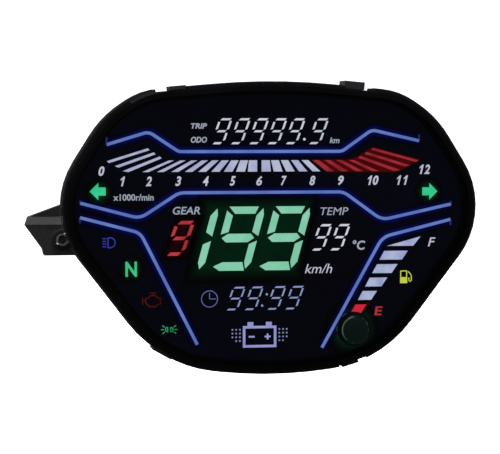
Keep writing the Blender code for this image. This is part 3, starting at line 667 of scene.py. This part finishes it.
def build_fuel():
    bars = []
    edge_low, slope, lowest = 39.8, 0.55, -40.9
    for number in range(5):
        low = lowest + 6.32 * number
        high = low + 4.2
        left = edge_low + slope * (low - lowest)
        right = 44.7 + 0.79 * (low - lowest)
        rise = high - low
        bars.append([(left, low), (right, low), (right + rise * 0.68, high), (left + rise * slope, high)])
    red, white = bars[0], bars[1:]
    white.append([(57.2, -9.1), (70.2, -9.1), (73.7, -4.7)])
    shapes("fuel_bars", white, glowing("fuel_light", (0.67, 0.71, 0.83), (0.58, 0.62, 0.79), scale=160.0))
    shapes("fuel_low_bar", [red], glowing("fuel_low_light", LOW_FUEL_RED, (0.80, 0.10, 0.16)))
    pool("fuel_low_glow", [red], fading("fuel_low_stray_light", (0.26, 0.01, 0.03), 0.8), 1.6, rings=3)
    lettering("fuel_full_letter", "F", (79.2, -7.4), (3.7, 4.3), glowing("fuel_full_light", LEGEND_WHITE),
              0.25, 0.01)
    lettering("fuel_empty_letter", "E", (53.3, -39.9), (4.0, 4.2),
              glowing("fuel_empty_light", (0.66, 0.20, 0.22)), 0.12)
    yellow = glowing("fuel_pump_light", PUMP_YELLOW)
    window = [band([(64.1, -20.9), (64.1, -24.0)], 0.5), band([(67.0, -20.9), (67.0, -24.0)], 0.5),
              band([(63.9, -21.1), (67.2, -21.1)], 0.5)]
    tank = [(63.8, -24.0), (67.3, -24.0), (67.3, -26.9), (63.8, -26.9)]
    hose = [(67.6, -21.3), (68.6, -22.2), (69.3, -23.4), (69.3, -25.6), (68.6, -26.2), (68.1, -25.6),
            (68.1, -24.2)]
    shapes("fuel_pump_symbol", window + [tank, band(hose, 0.45)], yellow)


def turn_arrow(tip, direction):
    """A block arrow from its tip, pointing left or right."""
    outline = ((0, 0), (4.0, 4.0), (4.0, 1.9), (7.4, 1.9), (7.4, -1.9), (4.0, -1.9), (4.0, -4.0))
    return [(tip[0] - direction * u, tip[1] + v) for u, v in outline]


def build_telltales():
    green = glowing("turn_light", TURN_GREEN, (0.18, 0.76, 0.52))
    arrows = {"turn_left_arrow": turn_arrow((-83.6, 17.5), -1),
              "turn_right_arrow": turn_arrow((81.9, 16.7), 1)}
    for name, outline in arrows.items():
        shapes(name, [outline], green)
        middle = sum(u for u, _ in outline) / len(outline)
        pool(name + "_glow", [disc((middle, 16.8), 3.4)],
             fading(name + "_stray_light", (0.0, 0.11, 0.06)), 3.4, rings=5)
    beam = glowing("high_beam_light", BEAM_BLUE, (0.16, 0.18, 0.56))
    lamp = band([(-75.2, -3.9), (-75.2, -8.5)], 0.55)
    dome = band([(-75.2, -3.9)] + arc((-74.2, -6.2), 2.3, 90, -90, 10) + [(-75.2, -8.5)], 0.55)
    rays = [band([(-77.8, v), (-76.0, v)], 0.5) for v in (-4.3, -5.55, -6.8, -8.05)]
    shapes("high_beam_symbol", [lamp, dome] + rays, beam)
    neutral = (-64.5, -18.6)
    lettering("neutral_letter", "N", neutral, (5.4, 7.0), glowing("neutral_light", NEUTRAL_GREEN), 0.0, 0.03)
    pool("neutral_glow", [disc(neutral, 3.6)], fading("neutral_stray_light", (0, 0.07, 0.035)), 3.0)
    engine = glowing("engine_light", ENGINE_RED, (0.22, 0.04, 0.05))
    body = [(-57.8, -34.3), (-57.8, -32.2), (-56.6, -32.2), (-55.6, -31.0), (-53.2, -31.0), (-52.2, -32.2),
            (-50.9, -32.2), (-50.9, -35.2), (-52.2, -35.2), (-53.2, -36.2), (-56.0, -36.2), (-57.0, -35.2)]
    fan = [band([(-59.2, -32.0), (-59.2, -35.2)], 0.5), band([(-59.2, -33.4), (-58.0, -33.4)], 0.45)]
    cap = [band([(-56.0, -29.8), (-52.8, -29.8)], 0.5), band([(-54.4, -29.8), (-54.4, -30.9)], 0.5)]
    shapes("engine_symbol", [band(body + body[:1], 0.6)] + fan + cap, engine)
    position = glowing("position_lamp_light", POSITION_GREEN, (0.12, 0.52, 0.30))
    centre = (-46.8, -47.0)
    lamps = []
    for side in (-1, 1):
        middle = (centre[0] + side * 0.7, centre[1])
        lamps += [band(arc(middle, 1.05, 90, 90 - side * 180, 8), 0.45),
                  band([(middle[0], middle[1] + 1.15), (middle[0], middle[1] - 1.15)], 0.4)]
        for turn in (-38, 0, 38):
            way = Vector((math.cos(math.radians(turn)) * side, math.sin(math.radians(turn))))
            lamps.append(band([tuple(Vector(middle) + way * 1.7), tuple(Vector(middle) + way * 3.2)], 0.42))
    shapes("position_lamp_symbol", lamps, position)


def build_clock_and_mark():
    """The clock's symbol, and a plain battery symbol between two fields of dots."""
    look = glowing("symbol_light", (0.40, 0.42, 0.66), (0.34, 0.37, 0.60))
    centre = (-27.8, -33.0)
    ends = ((centre[0], centre[1] + 2.8), (centre[0] + 3.0, centre[1]))
    hands = [band([centre, end], 0.35) for end in ends]
    shapes("clock_symbol", ring(centre, 4.0, 3.6) + hands, look)
    strong = glowing("battery_light", (0.60, 0.60, 0.80), (0.54, 0.55, 0.78))
    left, right, low, high = -11.4, 3.4, -55.6, -46.6
    frame_band = 1.2
    case = [band([(left, low), (right, low)], frame_band), band([(left, high), (right, high)], frame_band),
            band([(left, low - frame_band / 2), (left, high + frame_band / 2)], frame_band),
            band([(right, low - frame_band / 2), (right, high + frame_band / 2)], frame_band)]
    posts = [[(u - 1.4, high + 0.6), (u + 1.4, high + 0.6), (u + 1.4, high + 2.4), (u - 1.4, high + 2.4)]
             for u in (left + 3.0, right - 3.0)]
    sign_v, sign_width = -51.1, 0.8
    minus = band([(left + 2.2, sign_v), (left + 5.0, sign_v)], sign_width)
    plus = [band([(right - 5.0, sign_v), (right - 2.2, sign_v)], sign_width),
            band([(right - 3.6, sign_v + 1.4), (right - 3.6, sign_v - 1.4)], sign_width)]
    shapes("battery_symbol", case + posts + [minus] + plus, strong)
    dots = []
    for side, start in ((-1, left), (1, right)):
        for column in range(3):
            for row in range(4):
                if column + row < 5:
                    dots.append(disc((start + side * (2.0 + 1.78 * column), -47.7 - 1.76 * row), 0.44))
    shapes("battery_dots", dots, glowing("battery_dot_light", (0.50, 0.52, 0.70)))


# Finishes of the CAD nodes.

def dress(look, *names):
    """Gives CAD nodes one look."""
    for name in names:
        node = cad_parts[name]
        node.data.materials.clear()
        node.data.materials.append(look)


def numbered(stem):
    """The names of the CAD nodes that start with a stem."""
    return [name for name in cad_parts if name.startswith(stem)]


def sheet_look():
    """The dark face sheet: almost black, with a faint blue cast from the light that leaks through it."""
    nodes = Nodes("face_sheet_look")
    cloud = nodes.noise(22.0, detail=2.0)
    nodes.feed("Base Color", (0.003, 0.003, 0.005))
    nodes.feed("Roughness", nodes.spread(nodes.noise(300.0), 0.25, 0.4))
    leaks = ((0.3, (0.0008, 0.0008, 0.0026)), (0.7, (0.0011, 0.0013, 0.0052)))
    nodes.feed("Emission Color", nodes.ramp(cloud, leaks))
    nodes.feed("Emission Strength", 0.7 / LENS_PASSES)
    return nodes.material


def dress_nodes():
    dress(smoked_lens(), "front_lens")
    housing = surface("moulded_black_plastic", (0.020, 0.020, 0.021), 0.5, 2600.0, 0.00006,
                      worn=(0.045, 0.045, 0.048))
    dress(housing, "rear_housing")
    dress(surface("mask_plastic", (0.0016, 0.0016, 0.0018), 0.5, 3200.0, 0.00003), "bezel_frame")
    rubber = surface("black_rubber_skin", (0.016, 0.016, 0.017), 0.82, 1500.0, 0.00004, varies=0.35)
    dress(rubber, "lens_seal", "elastomer_strip", "ear_grommet", "breather_vent")
    dress(sheet_look(), "face_sheet")
    dress(surface("front_polarizer_film", (0.006, 0.006, 0.009), 0.2, 900.0, 0.00001), "lcd_front_polarizer")
    dress(surface("rear_polarizer_film", (0.01, 0.01, 0.015), 0.3, 900.0, 0.00001), "lcd_rear_polarizer")
    dress(surface("display_glass_plate", (0.10, 0.11, 0.12), 0.08, 300.0, 0.000004, coat=0.5),
          "lcd_front_glass", "lcd_rear_glass")
    dress(surface("printed_colour_film", (0.10, 0.14, 0.40), 0.4, 1200.0, 0.00001), "colour_film")
    dress(surface("milky_diffuser", (0.78, 0.78, 0.76), 0.65, 2200.0, 0.00003, varies=0.05), "diffuser_sheet")
    dress(surface("white_reflector_plastic", (0.76, 0.76, 0.73), 0.5, 1400.0, 0.00003, varies=0.06),
          "light_box")
    dress(surface("phosphor", (0.85, 0.78, 0.30), 0.4, 2500.0, 0.00002), *numbered("backlight_led_"))
    dress(surface("solder_mask", (0.010, 0.075, 0.030), 0.38, 700.0, 0.00002, coat=0.3), "circuit_board",
          "button_board")
    dress(surface("chip_epoxy", (0.018, 0.018, 0.019), 0.5, 3000.0, 0.00002), "microcontroller",
          "display_driver", "voltage_regulator", "switch_body", "switch_plunger")
    dress(surface("ferrite_block", (0.05, 0.05, 0.055), 0.65, 1800.0, 0.00005), "power_inductor")
    steel = surface("zinc_plated_steel", (0.46, 0.45, 0.42), 0.30, 900.0, 0.00001, metallic=1.0, varies=0.12,
                    worn=(0.70, 0.69, 0.66))
    dress(steel, "clock_crystal", *numbered("case_screw_"))
    build_return_spring(steel)
    dress(surface("darkened_steel", (0.30, 0.30, 0.30), 0.55, 1100.0, 0.00001, metallic=0.5, varies=0.2),
          "ear_bush")
    dress(surface("brushed_aluminium_can", (0.66, 0.66, 0.67), 0.34, 1200.0, 0.00001, metallic=1.0,
                  varies=0.08), "bulk_capacitor", "filter_capacitor")
    dress(surface("turned_brass", (0.60, 0.46, 0.22), 0.32, 1500.0, 0.00001, metallic=1.0, varies=0.15),
          "right_insert", "lower_insert", *numbered("socket_pin_"))
    dress(surface("nylon_socket", (0.62, 0.61, 0.55), 0.48, 1600.0, 0.00003, varies=0.06), "wiring_socket")
    dress(button_look(), "set_button")


def build_return_spring(look):
    """The button's return spring: a copy of the CAD spring with its own mesh and look, riding the case."""
    spring = bpy.data.objects.new("return_spring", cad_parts["button_spring"].data.copy())
    spring.data.materials.clear()
    spring.data.materials.append(look)
    bpy.context.scene.collection.objects.link(spring)
    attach(spring, "case")
    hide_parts("button_spring")
    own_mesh(spring)


# The cap's ring: radius, width, shift to the left of the cap's middle, and the side where its painted
# highlight is brightest (upper left).
RING_RADIUS, RING_WIDTH, RING_OFFSET = 6.2 * MM, 0.35 * MM, 0.4 * MM
RING_HIGHLIGHT_SIDE = (-0.92, 0.0, 0.39)


def button_look():
    """Glossy dark cap with a faint green cast from a light behind it. A thin ring on it carries a painted
    highlight, brightest on its upper-left side, and painted glints in noise patches round the rest of it.
    """
    nodes = Nodes("glossy_button_cap")
    low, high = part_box("set_button")
    middle = (low + high) / 2
    offset = nodes.add("ShaderNodeVectorMath", operation="SUBTRACT")
    nodes.link(nodes.place(), offset.inputs[0])
    offset.inputs[1].default_value = (middle.x - RING_OFFSET, 0.0, middle.z)
    flat = nodes.add("ShaderNodeVectorMath", operation="MULTIPLY")
    nodes.link(offset.outputs["Vector"], flat.inputs[0])
    flat.inputs[1].default_value = (1.0, 0.0, 1.0)
    reach = nodes.add("ShaderNodeVectorMath", operation="LENGTH")
    nodes.link(flat.outputs["Vector"], reach.inputs[0])
    distance = reach.outputs["Value"]
    rising = nodes.spread(distance, 0.0, 1.0, RING_RADIUS - RING_WIDTH, RING_RADIUS)
    falling = nodes.spread(distance, 1.0, 0.0, RING_RADIUS, RING_RADIUS + RING_WIDTH)
    ring_mask = nodes.math("MULTIPLY", rising, falling)
    # Painted highlight on the ring: emission brightest on its upper-left side, with painted glints in noise
    # patches elsewhere on it.
    side = nodes.add("ShaderNodeVectorMath", operation="DOT_PRODUCT")
    nodes.link(flat.outputs["Vector"], side.inputs[0])
    side.inputs[1].default_value = RING_HIGHLIGHT_SIDE
    highlight_side = nodes.spread(side.outputs["Value"], 0.0, 1.0, 0.35 * RING_RADIUS, 0.8 * RING_RADIUS)
    painted_glints = nodes.spread(nodes.noise(260.0, detail=1.0), 0.0, 0.45, 0.52, 0.60)
    lit = nodes.math("MULTIPLY", ring_mask, nodes.math("MAXIMUM", highlight_side, painted_glints))
    cloud = nodes.noise(180.0)
    tints = ((0.3, (0.0016, 0.0036, 0.0030)), (0.7, (0.0030, 0.0064, 0.0050)))
    nodes.feed("Base Color", nodes.ramp(cloud, tints))
    nodes.feed("Roughness", nodes.spread(nodes.noise(90.0), 0.10, 0.20))
    nodes.feed("Coat Weight", 0.4)
    nodes.feed("Coat Roughness", 0.06)
    # The emission runs from the cap's faint green cast up to the colour of the ring's painted highlight.
    glow = ((0.0, (0.0008, 0.0034, 0.0026)), (1.0, (0.065, 0.115, 0.095)))
    nodes.feed("Emission Color", nodes.ramp(lit, glow))
    nodes.feed("Emission Strength", 1.0)
    nodes.bump(nodes.noise(500.0, detail=2.0), 0.000008)
    return nodes.material


# Studio and camera.

def softbox(name, place, aim, size, power, mirrored_in_gloss=False):
    """A soft rectangular light that the camera doesn't see."""
    light = bpy.data.lights.new(name, "AREA")
    light.shape = "RECTANGLE"
    light.size, light.size_y = size
    light.energy = power
    lamp = bpy.data.objects.new(name, light)
    lamp.location = place
    lamp.rotation_euler = (Vector(aim) - Vector(place)).to_track_quat("-Z", "Y").to_euler()
    lamp.visible_glossy = mirrored_in_gloss
    lamp.visible_camera = False
    bpy.context.scene.collection.objects.link(lamp)


def build_cyclorama():
    """A pale floor that curves up all round into a wall."""
    drop, flat, curve, top = 0.05, 1.7, 0.8, 2.6
    floor = CAD_LOW.z - drop
    profile = [(0.0, floor), (flat * 0.5, floor), (flat, floor)]
    profile += [(flat + curve * math.sin(a), floor + curve * (1 - math.cos(a)))
                for a in (math.radians(90) * k / 12 for k in range(1, 13))]
    profile.append((flat + curve, floor + top))
    bm = bmesh.new()
    steps = 64
    turns = [2 * math.pi * k / steps for k in range(steps)]
    rows = [[bm.verts.new((radius * math.cos(a), radius * math.sin(a), height)) for a in turns]
            for radius, height in profile[1:]]
    hub = bm.verts.new((0, 0, floor))
    for k in range(steps):
        bm.faces.new((hub, rows[0][k - 1], rows[0][k]))
        for near, far in zip(rows, rows[1:]):
            bm.faces.new((near[k - 1], far[k - 1], far[k], near[k]))
    bmesh.ops.recalc_face_normals(bm, faces=bm.faces[:])
    data = bpy.data.meshes.new("cyclorama")
    bm.to_mesh(data)
    bm.free()
    data.shade_smooth()
    nodes = Nodes("pale_paper")
    pale = ((0.3, (0.78, 0.78, 0.78)), (0.7, (0.81, 0.81, 0.81)))
    nodes.feed("Base Color", nodes.ramp(nodes.noise(3.0), pale))
    nodes.feed("Roughness", 0.9)
    nodes.feed("Emission Color", (1.0, 1.0, 1.0))
    nodes.feed("Emission Strength", 0.97)
    data.materials.append(nodes.material)
    paper = bpy.data.objects.new("cyclorama", data)
    bpy.context.scene.collection.objects.link(paper)
    paper.visible_glossy = False
    paper.visible_diffuse = False


def build_studio():
    world = bpy.data.worlds.new("studio_air")
    world.use_nodes = True
    world.node_tree.nodes["Background"].inputs["Color"].default_value = (0.5, 0.52, 0.55, 1.0)
    world.node_tree.nodes["Background"].inputs["Strength"].default_value = 0.075
    bpy.context.scene.world = world
    build_cyclorama()
    middle = (0, -0.03, 0)
    softbox("top_softbox", (-0.1, -0.15, 1.25), middle, (1.0, 0.8), 32.0)
    softbox("front_softbox", (-0.5, -1.3, 0.4), middle, (0.9, 0.7), 4.0)
    softbox("left_softbox", (-1.3, 0.3, 0.3), middle, (0.7, 0.9), 24.0)
    softbox("right_softbox", (1.3, 0.3, 0.3), middle, (0.7, 0.9), 24.0)
    softbox("back_softbox", (0.2, 1.3, 0.5), middle, (1.2, 0.8), 14.0)
    softbox("gleam_softbox", (-0.2, -0.2, 1.4), middle, (1.6, 0.5), 1.0, mirrored_in_gloss=True)


def build_camera():
    lens = bpy.data.cameras.new("front_camera")
    lens.sensor_width = 36.0
    lens.lens = 137.0
    camera = bpy.data.objects.new("front_camera", lens)
    camera.location = (-0.1657, -0.9256, 0.0474)
    aim = Vector((-0.0097, -0.0405, 0.0003))
    camera.rotation_euler = (aim - camera.location).to_track_quat("-Z", "Y").to_euler()
    bpy.context.scene.collection.objects.link(camera)
    bpy.context.scene.camera = camera
    bpy.context.scene.view_settings.view_transform = "Standard"


build_camera()
build_studio()
dress_nodes()
build_guide_lines()
build_tachometer()
build_figures()
build_fuel()
build_telltales()
build_clock_and_mark()
build_button_glow()
